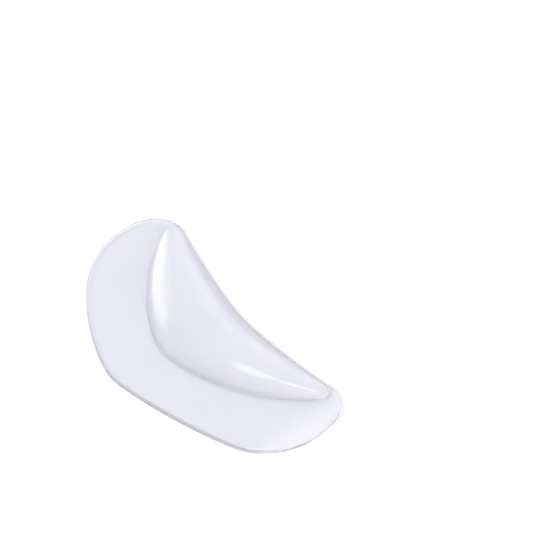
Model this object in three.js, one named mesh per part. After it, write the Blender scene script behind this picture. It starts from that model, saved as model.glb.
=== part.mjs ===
// Arch support pad of clear soft gel, moulded in one piece: a thin flat flange with a rounded rim, and on it
// a dome that fills the arch of the foot. It lies on its flat underside.
// Millimetres. +X points to the broad end, -Y to the hollow inner side of the foot, +Z up.
import * as THREE from 'three';
import { mergeVertices } from 'three/addons/utils/BufferGeometryUtils.js';

// Flange
const FLANGE_THICK = 2;
const TOP_EDGE_DROP = 0.5;
const BOTTOM_EDGE_RADIUS = 0.25;

// Dome. A section's rise follows its width, to a power. A lead is how far the section's curve leans in where
// it leaves the flange, as a share of its width: a small lead makes a steep wall.
const DOME_RISE = 7;
const RISE_POWER = 0.9;
const OUTER_LEAD = 0.08;
const INNER_LEAD = 0.25;

// Corner circles round the pad and round the dome's foot, counter-clockwise from above. An arc whose radius
// is the bend leads from each to the next and is tangent to both. A radius or a bend below zero hollows in.
// The rim is how far in the rounded top edge reaches.
const PAD_CORNERS = [
  { place: 'broad end, inner corner', x: 37.7, y: -15.4, radius: 10.7, bend: 18, rim: 0.45 },
  { place: 'broad end', x: 21.8, y: -9.4, radius: 28.2, bend: 62, rim: 1.6 },
  { place: 'outer side', x: 8.7, y: 8.4, radius: 17.7, bend: 195, rim: 1.6 },
  { place: 'narrow end', x: -26.4, y: -7.7, radius: 21.2, bend: 29, rim: 1.6 },
  { place: 'narrow end, inner corner', x: -41.6, y: -18.3, radius: 7.8, bend: -295, rim: 0.45 },
  { place: 'inner side', x: -2, y: -80, radius: -59.8, bend: -230, rim: 0.45 },
];
const DOME_CORNERS = [
  { place: 'broad tip', x: 37.7, y: -22.05, radius: 3.5, bend: 56, rim: 0 },
  { place: 'outer side', x: 4.2, y: -13, radius: 21, bend: 72, rim: 0 },
  { place: 'narrow tip', x: -38.75, y: -22.05, radius: 2.85, bend: -295, rim: 0 },
  { place: 'inner side', x: -2, y: -80, radius: -60.5, bend: -245, rim: 0 },
];

// Fineness of the facets
const PAD_STEP = { turn: THREE.MathUtils.degToRad(6), run: 3.5 };
const DOME_FOOT_STEP = { turn: THREE.MathUtils.degToRad(1), run: 0.5 };
const DOME_STATIONS = 42;
const SECTION_STEPS = 18;
const TOP_EDGE_STEPS = 4;
const BOTTOM_EDGE_STEPS = 2;

// A cubic curve whose two handles stand at one height peaks at this share of it.
const HANDLE_PEAK = 0.75;

const GEL_COLOUR = 0xe6e8f5;

// The direction in which the edge faces where a bend about one centre touches a corner circle about another.
function facing(bendCentre, corner, reach) {
  return Math.atan2((corner.y - bendCentre.y) / reach, (corner.x - bendCentre.x) / reach);
}

// The bend from a corner to the next: its centre, and the ways the edge faces where it starts and ends.
function bendBetween(corner, next) {
  const fromHere = corner.bend - corner.radius;
  const fromNext = corner.bend - next.radius;
  const way = new THREE.Vector2(next.x - corner.x, next.y - corner.y);
  const apart = way.length();
  const along = (fromHere ** 2 - fromNext ** 2 + apart ** 2) / (2 * apart);
  const side = Math.sign(corner.bend * fromHere * fromNext);
  const aside = side * Math.sqrt(fromHere ** 2 - along ** 2);
  way.normalize();
  const centre = new THREE.Vector2(
    corner.x + along * way.x - aside * way.y,
    corner.y + along * way.y + aside * way.x,
  );
  return {
    centre,
    leaves: facing(centre, corner, fromHere),
    meets: facing(centre, next, fromNext),
  };
}

// Steps along one arc, without its last: the point, the way that the edge faces there, and the rim.
function arcSteps(centre, radius, start, end, rims, step) {
  const turn = THREE.MathUtils.euclideanModulo(end - start + Math.PI, 2 * Math.PI) - Math.PI;
  const count = Math.ceil(Math.max(Math.abs(turn) / step.turn, Math.abs(turn * radius) / step.run));
  return Array.from({ length: count }, (_, k) => {
    const direction = start + (turn * k) / count;
    const outward = new THREE.Vector2(Math.cos(direction), Math.sin(direction));
    const point = outward.clone().multiplyScalar(radius).add(centre);
    return { point, outward, rim: THREE.MathUtils.lerp(...rims, k / count) };
  });
}

// The closed line round a table of corners.
function lineRound(corners, step) {
  const bends = corners.map((corner, i) => bendBetween(corner, corners[(i + 1) % corners.length]));
  return corners.flatMap((corner, i) => {
    const centre = new THREE.Vector2(corner.x, corner.y);
    const bend = bends[i];
    const { rim, radius } = corner;
    const nextRim = corners[(i + 1) % corners.length].rim;
    return [
      ...arcSteps(centre, radius, bends.at(i - 1).meets, bend.leaves, [rim, rim], step),
      ...arcSteps(bend.centre, corner.bend, bend.leaves, bend.meets, [rim, nextRim], step),
    ];
  });
}

// The rim's rings from the underside up, round the bottom edge and then round the top edge.
function rimRings() {
  const quarter = Math.PI / 2;
  const bottom = Array.from({ length: BOTTOM_EDGE_STEPS + 1 }, (_, k) => {
    const angle = (quarter * k) / BOTTOM_EDGE_STEPS;
    return {
      inset: () => BOTTOM_EDGE_RADIUS * (1 - Math.sin(angle)),
      height: BOTTOM_EDGE_RADIUS * (1 - Math.cos(angle)),
    };
  });
  const top = Array.from({ length: TOP_EDGE_STEPS + 1 }, (_, k) => {
    const angle = (quarter * k) / TOP_EDGE_STEPS;
    return {
      inset: (rim) => rim * (1 - Math.cos(angle)),
      height: FLANGE_THICK - TOP_EDGE_DROP * (1 - Math.sin(angle)),
    };
  });
  const edge = lineRound(PAD_CORNERS, PAD_STEP);
  return [...bottom, ...top].map(({ inset, height }) =>
    edge.map(({ point, outward, rim }) => {
      const place = point.clone().addScaledVector(outward, -inset(rim));
      return new THREE.Vector3(place.x, place.y, height);
    }),
  );
}

// Where the dome's foot crosses a line across the pad: the outer and the inner point.
function footCrossings(foot, x) {
  const found = [];
  foot.forEach((a, i) => {
    const b = foot[(i + 1) % foot.length];
    if (a.x < x !== b.x < x) {
      found.push(THREE.MathUtils.mapLinear(x, a.x, b.x, a.y, b.y));
    }
  });
  return { x, outer: Math.max(...found), inner: Math.min(...found) };
}

// The dome as sections across the pad, closer together near its two tips, and the point at each tip.
function domeSections() {
  const [broadTip, , narrowTip] = DOME_CORNERS;
  const ends = [narrowTip.x - narrowTip.radius, broadTip.x + broadTip.radius];
  const foot = lineRound(DOME_CORNERS, DOME_FOOT_STEP).map(({ point }) => point);
  const stations = Array.from({ length: DOME_STATIONS - 1 }, (_, k) => {
    const share = (1 - Math.cos((Math.PI * (k + 1)) / DOME_STATIONS)) / 2;
    return footCrossings(foot, THREE.MathUtils.lerp(...ends, share));
  });
  const widest = Math.max(...stations.map(({ outer, inner }) => outer - inner));
  const sections = stations.map(({ x, outer, inner }) => {
    const width = outer - inner;
    const handle = (DOME_RISE * (width / widest) ** RISE_POWER) / HANDLE_PEAK;
    const section = new THREE.CubicBezierCurve(
      new THREE.Vector2(outer, 0),
      new THREE.Vector2(outer - OUTER_LEAD * width, handle),
      new THREE.Vector2(inner + INNER_LEAD * width, handle),
      new THREE.Vector2(inner, 0),
    );
    const points = section.getPoints(SECTION_STEPS);
    return points.map((point) => new THREE.Vector3(x, point.x, FLANGE_THICK + point.y));
  });
  return {
    sections,
    narrowPoint: new THREE.Vector3(ends[0], narrowTip.y, FLANGE_THICK),
    broadPoint: new THREE.Vector3(ends[1], broadTip.y, FLANGE_THICK),
  };
}

// The triangles of a strip between two lines of equally many points, facing left of the way along
// the first.
function strip(first, second, closed) {
  const count = closed ? first.length : first.length - 1;
  return Array.from({ length: count }, (_, i) => {
    const j = (i + 1) % first.length;
    return [first[i], first[j], second[j], first[i], second[j], second[i]];
  }).flat();
}

// The triangles from one point to each step of a line.
function fan(point, line) {
  return line.slice(1).flatMap((next, i) => [point, line[i], next]);
}

// The triangles of a level face inside a line and outside its holes, facing up.
function levelFace(line, holes) {
  const corners = [line, ...holes].flat();
  return THREE.ShapeUtils.triangulateShape(line, holes).flatMap((triple) => triple.map((k) => corners[k]));
}

function gelPadGeometry() {
  const rings = rimRings();
  const { sections, narrowPoint, broadPoint } = domeSections();
  const outerFoot = sections.map((section) => section[0]);
  const innerFoot = sections.map((section) => section.at(-1));
  const domeFoot = [narrowPoint, ...outerFoot, broadPoint, ...innerFoot.toReversed()];
  const corners = [
    ...levelFace(rings[0], []).toReversed(),
    ...rings.slice(1).flatMap((ring, i) => strip(rings[i], ring, true)),
    ...levelFace(rings.at(-1), [domeFoot]),
    ...sections.slice(1).flatMap((section, i) => strip(sections[i], section, false)),
    ...fan(narrowPoint, sections[0].toReversed()),
    ...fan(broadPoint, sections.at(-1)),
  ];
  const geometry = mergeVertices(new THREE.BufferGeometry().setFromPoints(corners));
  geometry.computeVertexNormals();
  return geometry;
}

const gel = new THREE.MeshStandardMaterial({
  color: GEL_COLOUR,
  roughness: 0.15,
  metalness: 0,
  transparent: true,
  opacity: 0.5,
});
const gelPad = new THREE.Mesh(gelPadGeometry(), gel);
gelPad.name = 'gel_pad';

const part = new THREE.Group();
part.add(gelPad);

export default part;
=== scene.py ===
import math
from collections import namedtuple

import bmesh
import bpy
import numpy as np
from mathutils import Matrix, Vector
from mathutils.geometry import delaunay_2d_cdt


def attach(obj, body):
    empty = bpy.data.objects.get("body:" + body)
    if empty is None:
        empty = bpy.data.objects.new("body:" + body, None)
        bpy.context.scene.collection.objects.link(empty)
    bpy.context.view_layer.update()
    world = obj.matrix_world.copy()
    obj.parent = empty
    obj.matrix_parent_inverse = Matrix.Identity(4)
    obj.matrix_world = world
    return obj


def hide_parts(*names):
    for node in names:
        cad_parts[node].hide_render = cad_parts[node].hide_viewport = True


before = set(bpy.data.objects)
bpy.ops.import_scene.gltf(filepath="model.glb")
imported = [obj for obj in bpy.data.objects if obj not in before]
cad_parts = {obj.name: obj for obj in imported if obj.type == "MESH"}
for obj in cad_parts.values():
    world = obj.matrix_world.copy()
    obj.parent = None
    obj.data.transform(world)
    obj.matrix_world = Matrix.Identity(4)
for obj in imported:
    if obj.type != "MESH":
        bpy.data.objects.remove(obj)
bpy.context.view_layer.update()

MM = 0.001

# Flange, in mm
FLANGE_THICK = 2.0
TOP_EDGE_DROP = 0.5
BOTTOM_EDGE_RADIUS = 0.25

# Dome, in mm. A section's rise follows its width, to a power. A lead is how far the section's curve leans in
# where it leaves the flange, as a share of its width: a small lead makes a steep wall.
DOME_RISE = 7.0
RISE_POWER = 0.9
OUTER_LEAD = 0.08
INNER_LEAD = 0.25
HANDLE_PEAK = 0.75       # a cubic curve whose two handles stand at one height peaks at this share of it

# Corner circles round the pad and round the dome's foot, in mm, counter-clockwise from above. An arc whose radius
# is the bend leads from each to the next and is tangent to both. A radius or a bend below zero hollows in.
# The rim is how far in the rounded top edge reaches.
Corner = namedtuple("Corner", "place x y radius bend rim", defaults=(0,))
PAD_CORNERS = (
    Corner("broad end, inner corner", 37.7, -15.4, 10.7, 18, 0.45),
    Corner("broad end", 21.8, -9.4, 28.2, 62, 1.6),
    Corner("outer side", 8.7, 8.4, 17.7, 195, 1.6),
    Corner("narrow end", -26.4, -7.7, 21.2, 29, 1.6),
    Corner("narrow end, inner corner", -41.6, -18.3, 7.8, -295, 0.45),
    Corner("inner side", -2, -80, -59.8, -230, 0.45),
)
DOME_CORNERS = (
    Corner("broad tip", 37.7, -22.05, 3.5, 56),
    Corner("outer side", 4.2, -13, 21, 72),
    Corner("narrow tip", -38.75, -22.05, 2.85, -295),
    Corner("inner side", -2, -80, -60.5, -245),
)

# Fineness of the mesh, in mm where it is a length
Step = namedtuple("Step", "turn run")
PAD_STEP = Step(math.radians(1.5), 0.4)
FOOT_STEP = Step(math.radians(0.5), 0.2)
DOME_STATIONS = 150
SECTION_STEPS = 60
TOP_EDGE_STEPS = 16
BOTTOM_EDGE_STEPS = 5
KEEP_FLAT = 0.05
GRID_PITCH = 2.0
GRID_MARGIN = 1.0
SAME_POINT = 1e-4
TRIANGLES_INSIDE = 1     # the kind of mesh that delaunay_2d_cdt hands back
SAME_PLAN_POINT = 1e-9
CREASE_ANGLE = math.radians(25)

# Gel. Its tint drifts between clear and deep. Painted shade makes it darker on the rim and on steep walls, standing
# in for the dark edge line and the shaded walls of clear gel. Painted light makes it paler at the narrow end, for
# the glow there.
GEL_CLEAR = (0.850, 0.852, 0.888, 1.0)
GEL_DEEP = (0.836, 0.839, 0.880, 1.0)
# Painted shade: steep walls darker, as refraction makes clear gel look there.
GEL_STEEP_PAINTED_SHADE = (0.77, 0.765, 0.85, 1.0)
# Painted shade: a dark line along the rim.
GEL_RIM_PAINTED_SHADE = (0.49, 0.49, 0.58, 1.0)
# Painted light: the narrow end paler, for the glow of light coming through there.
GEL_PAINTED_LIGHT = (0.9, 0.903, 0.925, 1.0)
GEL_DEPTH_COLOUR = (0.5, 0.5, 0.65, 1.0)
GEL_DEPTH_DENSITY = 5.0
GEL_IOR = 1.43
GEL_ROUGHNESS = (0.02, 0.07)
DRIFT_SCALE = 45
DRIFT_DETAIL = 3
RIPPLE_SCALE = 220
RIPPLE_DETAIL = 2
RIPPLE_STRENGTH = 0.01
RIPPLE_HEIGHT = 0.2 * MM

# Where each painted shade or painted light starts and where it is full: by the upright share of the way a face
# looks, and by place.
# Painted shade on steep walls.
STEEP_SHADE_FADE = (0.65, 0.3)
# Painted shade on the rim, by height.
RIM_SHADE_LOWER_FADE = (0.15 * MM, 0.3 * MM)
RIM_SHADE_UPPER_FADE = (1.94 * MM, 1.82 * MM)
# Painted light at the narrow end and on its rim.
PAINTED_LIGHT_FADE = (-38 * MM, -50 * MM)
PAINTED_LIGHT_RIM_FADE = (-20 * MM, -10 * MM)

# Floor
FLOOR_WHITE = (0.9, 0.9, 0.9, 1.0)
FLOOR_ROUGHNESS = 0.9
FLOOR_HALF = 4.0
FLOOR_DROP = 0.2 * MM

# Camera, at the photo's angle, and the point on the floor that it looks at
AZIMUTH = 230.2
ELEVATION = 60.0
DISTANCE = 0.6
LENS = 117.86
SENSOR = 36.0
LOOK_AT = Vector((0.00412, -0.03919, 0.0))

# Light. Azimuths count from the camera's side, to the right. A white tent is brighter or dimmer towards some
# sides: by the whole change near the middle of a side, and by nothing from the fade on, in degrees from the middle.
TENT_LEVEL = 1.62
TentSide = namedtuple("TentSide", "name azimuth elevation change near fade")
TENT_SIDES = (
    TentSide("front", 20, 35, 0.3, 25, 75),
    TentSide("back, low", 190, 20, -0.7, 10, 38),
    TentSide("right, high", 117, 48, -1.0, 15, 40),
)

# Soft lamps that only show where the gel mirrors them once. Each reaches from one direction to another and fades to
# its edges, over a share of its size.
Lamp = namedtuple("Lamp", "name start_azimuth start_elevation end_azimuth end_elevation width radiance")
LAMPS = (
    Lamp("left_streak", -29, 72, 148, 73, 0.24, 4.2),
    Lamp("right_streak", 100, 88, 90, 58, 0.28, 5.5),
    Lamp("outer_side_patch", -178, 20, -92, 20, 0.9, 5.2),
)
LAMP_SOFT = 0.4
LAMP_DISTANCE = 1.0
LAMP_DEPTH = 2.5         # a ray that was mirrored once meets a lamp at a depth of 2
EXPOSURE = 0.1
BOUNCES = 64


def direction(azimuth, elevation):
    """Unit vector from the object to where a camera or a light stands, by the same angles as the camera's."""
    a, e = math.radians(azimuth), math.radians(elevation)
    return Vector((math.sin(a) * math.cos(e), -math.cos(a) * math.cos(e), math.sin(e)))


def bend_between(corner, following):
    """The arc from a corner to the next: its centre, and the ways the edge faces where it starts and ends."""
    here = np.array((corner.x, corner.y))
    there = np.array((following.x, following.y))
    from_here = corner.bend - corner.radius
    from_next = corner.bend - following.radius
    apart = np.linalg.norm(there - here)
    way = (there - here) / apart
    along = (from_here ** 2 - from_next ** 2 + apart ** 2) / (2 * apart)
    aside = math.copysign(math.sqrt(from_here ** 2 - along ** 2), corner.bend * from_here * from_next)
    centre = here + along * way + aside * np.array((-way[1], way[0]))
    leaves = math.atan2(*((here - centre) / from_here)[::-1])
    meets = math.atan2(*((there - centre) / from_next)[::-1])
    return centre, leaves, meets


def line_round(corners, step):
    """Points of the closed line round a table of corners, the way that the edge faces at each, and its rim."""
    following = corners[1:] + corners[:1]
    bends = [bend_between(corner, after) for corner, after in zip(corners, following)]
    points, facings, rims = [], [], []
    for i, corner in enumerate(corners):
        centre, leaves, meets = bends[i]
        arcs = (
            (np.array((corner.x, corner.y)), corner.radius, bends[i - 1][2], leaves, corner.rim),
            (centre, corner.bend, leaves, meets, following[i].rim),
        )
        for middle, radius, start, end, last_rim in arcs:
            turn = (end - start + math.pi) % (2 * math.pi) - math.pi
            count = math.ceil(max(abs(turn) / step.turn, abs(turn * radius) / step.run))
            shares = np.arange(count) / count
            angles = start + turn * shares
            facing = np.stack((np.cos(angles), np.sin(angles)), axis=1)
            points.append(middle + radius * facing)
            facings.append(facing)
            rims.append(corner.rim + (last_rim - corner.rim) * shares)
    return np.concatenate(points), np.concatenate(facings), np.concatenate(rims)


def at_height(points, height):
    """Points of the plan, at a height."""
    return np.column_stack((points, np.full(len(points), height)))


def rim_rings():
    """The rim's rings from the underside up: round the bottom edge, up the wall, and round the top edge.

    Close to each end of a round, one more ring keeps the flat beside it flat to the light.
    """
    edge, facing, rim = line_round(PAD_CORNERS, PAD_STEP)
    bottom = [
        (BOTTOM_EDGE_RADIUS * (1 - math.sin(angle)), BOTTOM_EDGE_RADIUS * (1 - math.cos(angle)))
        for angle in np.linspace(0, math.pi / 2, BOTTOM_EDGE_STEPS + 1)
    ]
    top = [
        (rim * (1 - math.cos(angle)), FLANGE_THICK - TOP_EDGE_DROP * (1 - math.sin(angle)))
        for angle in np.linspace(0, math.pi / 2, TOP_EDGE_STEPS + 1)
    ]
    steps = [
        (BOTTOM_EDGE_RADIUS + KEEP_FLAT, 0),
        *bottom,
        (0, BOTTOM_EDGE_RADIUS + KEEP_FLAT),
        (0, FLANGE_THICK - TOP_EDGE_DROP - KEEP_FLAT),
        *top,
        (rim + KEEP_FLAT, FLANGE_THICK),
    ]
    insets = [np.broadcast_to(inset, rim.shape)[:, None] for inset, _ in steps]
    return [at_height(edge - inset * facing, height) for inset, (_, height) in zip(insets, steps)]


def foot_crossings(foot, x):
    """Where the dome's foot crosses a line across the pad: the outer and the inner point."""
    ahead = np.roll(foot, -1, axis=0)
    crossed = (foot[:, 0] < x) != (ahead[:, 0] < x)
    here, there = foot[crossed], ahead[crossed]
    found = here[:, 1] + (x - here[:, 0]) * (there[:, 1] - here[:, 1]) / (there[:, 0] - here[:, 0])
    return found.max(), found.min()


def cubic(a, b, c, d, t):
    """A cubic curve through a and d with handles b and c."""
    u = 1 - t
    return u ** 3 * a + 3 * u * u * t * b + 3 * u * t * t * c + t ** 3 * d


def dome_sections():
    """The dome as sections across the pad, closer together near its two tips, and the tips."""
    broad_tip, _, narrow_tip, _ = DOME_CORNERS
    low = narrow_tip.x - narrow_tip.radius
    high = broad_tip.x + broad_tip.radius
    foot, _, _ = line_round(DOME_CORNERS, FOOT_STEP)
    shares = (1 - np.cos(np.pi * np.arange(1, DOME_STATIONS) / DOME_STATIONS)) / 2
    stations = low + (high - low) * shares
    crossings = [foot_crossings(foot, x) for x in stations]
    widest = max(outer - inner for outer, inner in crossings)
    t = np.linspace(0, 1, SECTION_STEPS + 1)
    sections = []
    for x, (outer, inner) in zip(stations, crossings):
        width = outer - inner
        handle = DOME_RISE * (width / widest) ** RISE_POWER / HANDLE_PEAK
        y = cubic(outer, outer - OUTER_LEAD * width, inner + INNER_LEAD * width, inner, t)
        z = FLANGE_THICK + cubic(0, handle, handle, 0, t)
        sections.append(np.column_stack((np.full(len(t), x), y, z)))
    tips = np.array(((low, narrow_tip.y, FLANGE_THICK), (high, broad_tip.y, FLANGE_THICK)))
    return sections, tips


def inside(points, polygon):
    """Which points of the plan lie inside a closed line."""
    x, y = points[:, 0:1], points[:, 1:2]
    ax, ay = polygon[:, 0], polygon[:, 1]
    bx, by = np.roll(ax, -1), np.roll(ay, -1)
    spans = (ay > y) != (by > y)
    rise = np.where(by == ay, 1.0, by - ay)
    hits = spans & (x < ax + (y - ay) * (bx - ax) / rise)
    return hits.sum(axis=1) % 2 == 1


def clear_of(points, line, margin):
    """Which points of the plan keep a margin to a line."""
    gaps = np.linalg.norm(points[:, None, :] - line[None, :, :], axis=2)
    return gaps.min(axis=1) > margin


def level_face(line, hole, height):
    """An even triangle mesh between a closed line and a hole in it, at a height: its points and its triangles."""
    low, high = line.min(axis=0), line.max(axis=0)
    rows = np.arange(low[1], high[1], GRID_PITCH * math.sqrt(3) / 2)
    columns = np.arange(low[0], high[0], GRID_PITCH)
    grid = np.concatenate([
        np.column_stack((columns + GRID_PITCH / 2 * (k % 2), np.full(len(columns), y)))
        for k, y in enumerate(rows)
    ])
    grid = grid[inside(grid, line) & clear_of(grid, line, GRID_MARGIN)]
    lines = [line]
    if hole is not None:
        grid = grid[~inside(grid, hole) & clear_of(grid, hole, GRID_MARGIN)]
        lines.append(hole)
    points = np.concatenate(lines + [grid])
    edges, start = [], 0
    for each in lines:
        edges += [(start + k, start + (k + 1) % len(each)) for k in range(len(each))]
        start += len(each)
    corners = [Vector(p) for p in points]
    flat, _, faces, _, _, _ = delaunay_2d_cdt(corners, edges, [], TRIANGLES_INSIDE, SAME_PLAN_POINT)
    flat = np.array([tuple(p) for p in flat])
    faces = np.array(faces)
    if hole is not None:
        faces = faces[~inside(flat[faces].mean(axis=1), hole)]
    return at_height(flat, height), faces


class MeshParts:
    """Points and faces gathered from several patches."""

    def __init__(self):
        self.points = []
        self.faces = []
        self.count = 0

    def add(self, points, faces):
        self.points.append(np.asarray(points))
        self.faces += [tuple(int(k) + self.count for k in face) for face in faces]
        self.count += len(points)

    def strip(self, first, second, closed):
        """Quads between two lines of equally many points."""
        n = len(first)
        steps = range(n if closed else n - 1)
        faces = [(k, (k + 1) % n, n + (k + 1) % n, n + k) for k in steps]
        self.add(np.concatenate((first, second)), faces)

    def fan(self, point, line):
        """Triangles from a point to each step of a line."""
        faces = [(0, k + 1, k + 2) for k in range(len(line) - 1)]
        self.add(np.concatenate((point[None], line)), faces)


def gel_pad_mesh():
    """The pad as one closed fine mesh."""
    rings = rim_rings()
    sections, tips = dome_sections()
    outer_foot = [section[0] for section in sections]
    inner_foot = [section[-1] for section in sections]
    foot = np.array([tips[0], *outer_foot, tips[1], *inner_foot[::-1]])
    parts = MeshParts()
    points, faces = level_face(rings[0][:, :2], None, 0.0)
    parts.add(points, faces[:, ::-1])
    for lower, upper in zip(rings, rings[1:]):
        parts.strip(lower, upper, True)
    parts.add(*level_face(rings[-1][:, :2], foot[:, :2], FLANGE_THICK))
    for here, there in zip(sections, sections[1:]):
        parts.strip(here, there, False)
    parts.fan(tips[0], sections[0][::-1])
    parts.fan(tips[1], sections[-1])
    mesh = bpy.data.meshes.new("gel_pad_fine")
    mesh.from_pydata(np.concatenate(parts.points) * MM, [], parts.faces)
    return mesh


def weld(mesh):
    """Joins the points that patches share."""
    work = bmesh.new()
    work.from_mesh(mesh)
    bmesh.ops.remove_doubles(work, verts=work.verts, dist=SAME_POINT * MM)
    work.to_mesh(mesh)
    work.free()


def axes(tree, vector):
    """The three numbers of a vector."""
    node = tree.nodes.new("ShaderNodeSeparateXYZ")
    tree.links.new(vector, node.inputs["Vector"])
    return node.outputs


def worked_out(tree, operation, *values):
    """The result of an operation on sockets and numbers."""
    node = tree.nodes.new("ShaderNodeMath")
    node.operation = operation
    for socket, value in zip(node.inputs, values):
        if isinstance(value, float):
            socket.default_value = value
        else:
            tree.links.new(value, socket)
    return node.outputs["Value"]


def faded(tree, value, start, end, full=1.0):
    """A number that goes smoothly from nothing to full while a value goes from a start to an end."""
    node = tree.nodes.new("ShaderNodeMapRange")
    node.interpolation_type = "SMOOTHSTEP"
    node.inputs["From Min"].default_value = start
    node.inputs["From Max"].default_value = end
    node.inputs["To Max"].default_value = full
    tree.links.new(value, node.inputs["Value"])
    return node.outputs["Result"]


def noise(tree, place, scale, detail):
    """Soft noise over the object."""
    node = tree.nodes.new("ShaderNodeTexNoise")
    node.inputs["Scale"].default_value = scale
    node.inputs["Detail"].default_value = detail
    tree.links.new(place, node.inputs["Vector"])
    return node.outputs["Fac"]


def blended(tree, share, colour, other):
    """A colour that gives way to another by a share. The first is a socket or a fixed colour."""
    node = tree.nodes.new("ShaderNodeMix")
    node.data_type = "RGBA"
    if isinstance(colour, tuple):
        node.inputs["A"].default_value = colour
    else:
        tree.links.new(colour, node.inputs["A"])
    node.inputs["B"].default_value = other
    tree.links.new(share, node.inputs["Factor"])
    return node.outputs["Result"]


def new_material(name):
    """A material with a plain shader, its node tree and the shader."""
    material = bpy.data.materials.new(name)
    material.use_nodes = True
    tree = material.node_tree
    tree.nodes.clear()
    out = tree.nodes.new("ShaderNodeOutputMaterial")
    shader = tree.nodes.new("ShaderNodeBsdfPrincipled")
    tree.links.new(shader.outputs["BSDF"], out.inputs["Surface"])
    return material, tree, shader


def gel_colour(tree, place, drift):
    """The gel's tint: adrift, then painted light that makes the narrow end paler, painted shade that darkens steep
    walls, and painted shade that darkens the rim.

    The painted light at the narrow end reaches its rim as well, but for its inner corner.
    """
    spot = axes(tree, place)
    # Painted shade: the rim between two heights gets a dark tint, for the dark edge line.
    above = faded(tree, spot["Z"], *RIM_SHADE_LOWER_FADE)
    below = faded(tree, spot["Z"], *RIM_SHADE_UPPER_FADE)
    painted_rim_shade = worked_out(tree, "MULTIPLY", above, below)
    # Painted shade: steep walls get a darker tint.
    normal = tree.nodes.new("ShaderNodeNewGeometry").outputs["Normal"]
    upright = worked_out(tree, "ABSOLUTE", axes(tree, normal)["Z"])
    painted_steep_shade = faded(tree, upright, *STEEP_SHADE_FADE)
    # Painted light: the narrow end, and its rim but for the inner corner, get a paler tint.
    painted_light_end = faded(tree, spot["X"], *PAINTED_LIGHT_FADE)
    off_corner = faded(tree, spot["Y"], *PAINTED_LIGHT_RIM_FADE)
    painted_light_rim = worked_out(tree, "MULTIPLY", painted_light_end, off_corner)
    colour = blended(tree, drift, GEL_CLEAR, GEL_DEEP)
    colour = blended(tree, painted_light_end, colour, GEL_PAINTED_LIGHT)
    colour = blended(tree, painted_steep_shade, colour, GEL_STEEP_PAINTED_SHADE)
    colour = blended(tree, painted_rim_shade, colour, GEL_RIM_PAINTED_SHADE)
    return blended(tree, painted_light_rim, colour, GEL_PAINTED_LIGHT)


def gel_material():
    """Clear soft gel with a faint lavender tint, a slightly uneven gloss and a faint ripple."""
    material, tree, shader = new_material("clear_gel")
    place = tree.nodes.new("ShaderNodeTexCoord").outputs["Object"]
    drift = noise(tree, place, DRIFT_SCALE, DRIFT_DETAIL)
    tree.links.new(gel_colour(tree, place, drift), shader.inputs["Base Color"])
    gloss = tree.nodes.new("ShaderNodeMapRange")
    gloss.inputs["To Min"].default_value = GEL_ROUGHNESS[0]
    gloss.inputs["To Max"].default_value = GEL_ROUGHNESS[1]
    tree.links.new(drift, gloss.inputs["Value"])
    tree.links.new(gloss.outputs["Result"], shader.inputs["Roughness"])
    bump = tree.nodes.new("ShaderNodeBump")
    bump.inputs["Strength"].default_value = RIPPLE_STRENGTH
    bump.inputs["Distance"].default_value = RIPPLE_HEIGHT
    tree.links.new(noise(tree, place, RIPPLE_SCALE, RIPPLE_DETAIL), bump.inputs["Height"])
    tree.links.new(bump.outputs["Normal"], shader.inputs["Normal"])
    shader.inputs["Transmission Weight"].default_value = 1.0
    shader.inputs["IOR"].default_value = GEL_IOR
    depth = tree.nodes.new("ShaderNodeVolumeAbsorption")
    depth.inputs["Color"].default_value = GEL_DEPTH_COLOUR
    depth.inputs["Density"].default_value = GEL_DEPTH_DENSITY
    tree.links.new(depth.outputs["Volume"], tree.nodes["Material Output"].inputs["Volume"])
    return material


def floor_material():
    """Plain white studio floor."""
    material, _, shader = new_material("white_floor")
    shader.inputs["Base Color"].default_value = FLOOR_WHITE
    shader.inputs["Roughness"].default_value = FLOOR_ROUGHNESS
    shader.inputs["Specular IOR Level"].default_value = 0.0
    return material


def link(name, data):
    """A new object in the scene."""
    item = bpy.data.objects.new(name, data)
    bpy.context.scene.collection.objects.link(item)
    return item


def make_camera():
    camera = link("camera", bpy.data.cameras.new("camera"))
    back = direction(AZIMUTH, ELEVATION)
    camera.data.lens = LENS
    camera.data.sensor_width = SENSOR
    camera.location = LOOK_AT + DISTANCE * back
    camera.rotation_mode = "QUATERNION"
    camera.rotation_quaternion = (-back).to_track_quat("-Z", "Y")
    bpy.context.scene.camera = camera


def make_floor():
    signs = ((-1, -1), (1, -1), (1, 1), (-1, 1))
    corners = [(FLOOR_HALF * x, FLOOR_HALF * y, -FLOOR_DROP) for x, y in signs]
    mesh = bpy.data.meshes.new("floor")
    mesh.from_pydata(corners, [], [(0, 1, 2, 3)])
    mesh.materials.append(floor_material())
    link("floor", mesh)


def soften(light):
    """Lets a lamp fade towards its four edges, and show only where it is mirrored once."""
    light.use_nodes = True
    tree = light.node_tree
    across = axes(tree, tree.nodes.new("ShaderNodeNewGeometry").outputs["Parametric"])
    shares = []
    for side in "XY":
        off_middle = worked_out(tree, "ABSOLUTE", worked_out(tree, "SUBTRACT", across[side], 0.5))
        shares.append(faded(tree, off_middle, 0.5, 0.5 - LAMP_SOFT))
    depth = tree.nodes.new("ShaderNodeLightPath").outputs["Ray Depth"]
    first = worked_out(tree, "LESS_THAN", depth, LAMP_DEPTH)
    shown = worked_out(tree, "MULTIPLY", worked_out(tree, "MULTIPLY", *shares), first)
    tree.links.new(shown, tree.nodes["Emission"].inputs["Strength"])


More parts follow.
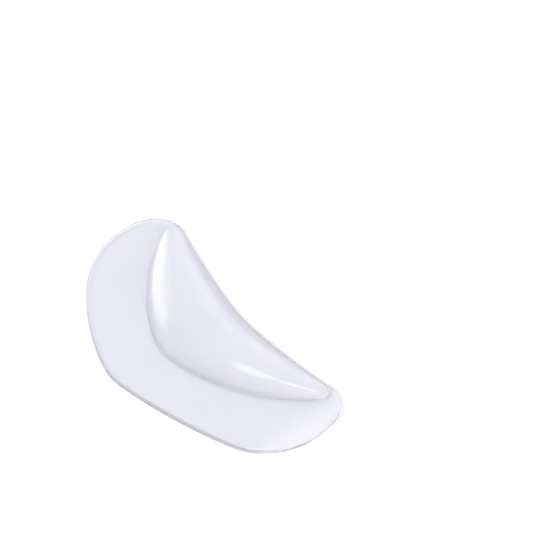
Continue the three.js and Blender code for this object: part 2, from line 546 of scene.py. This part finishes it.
def make_lamp(lamp):
    """A soft lamp that faces the object, from one direction to another. It only shows mirrored."""
    start = LAMP_DISTANCE * direction(AZIMUTH + lamp.start_azimuth, lamp.start_elevation)
    end = LAMP_DISTANCE * direction(AZIMUTH + lamp.end_azimuth, lamp.end_elevation)
    along = (end - start).normalized()
    middle = (start + end) / 2
    away = middle.normalized()
    light = bpy.data.lights.new(lamp.name, "AREA")
    light.shape = "RECTANGLE"
    light.size = (end - start).length
    light.size_y = lamp.width
    light.energy = lamp.radiance * math.pi * light.size * light.size_y
    soften(light)
    item = link(lamp.name, light)
    turned = Matrix((along, away.cross(along), away)).transposed().to_4x4()
    item.matrix_world = Matrix.Translation(middle) @ turned
    item.visible_camera = False
    item.visible_diffuse = False
    item.visible_transmission = False


def make_world():
    """A white light tent, brighter or dimmer towards the sides in the table."""
    world = bpy.data.worlds.new("light_tent")
    bpy.context.scene.world = world
    world.use_nodes = True
    tree = world.node_tree
    tree.nodes.clear()
    out = tree.nodes.new("ShaderNodeOutputWorld")
    tent = tree.nodes.new("ShaderNodeBackground")
    place = tree.nodes.new("ShaderNodeTexCoord").outputs["Generated"]
    total = TENT_LEVEL
    for side in TENT_SIDES:
        nearness = tree.nodes.new("ShaderNodeVectorMath")
        nearness.operation = "DOT_PRODUCT"
        nearness.inputs[1].default_value = direction(AZIMUTH + side.azimuth, side.elevation)
        tree.links.new(place, nearness.inputs[0])
        start, end = (math.cos(math.radians(angle)) for angle in (side.fade, side.near))
        change = faded(tree, nearness.outputs["Value"], start, end, side.change)
        total = worked_out(tree, "ADD", total, change)
    tree.links.new(total, tent.inputs["Strength"])
    tree.links.new(tent.outputs["Background"], out.inputs["Surface"])


def make_gel_pad():
    mesh = gel_pad_mesh()
    weld(mesh)
    mesh.shade_smooth()
    mesh.set_sharp_from_angle(angle=CREASE_ANGLE)
    mesh.materials.append(gel_material())
    pad = link("gel_pad_soft", mesh)
    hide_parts("gel_pad")
    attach(pad, "root")


make_camera()
make_floor()
make_world()
for each in LAMPS:
    make_lamp(each)
make_gel_pad()

scene = bpy.context.scene
scene.view_settings.view_transform = "Standard"
scene.view_settings.exposure = EXPOSURE
scene.cycles.use_denoising = True
scene.cycles.blur_glossy = 0.0
scene.cycles.max_bounces = BOUNCES
scene.cycles.transmission_bounces = BOUNCES
scene.cycles.glossy_bounces = BOUNCES
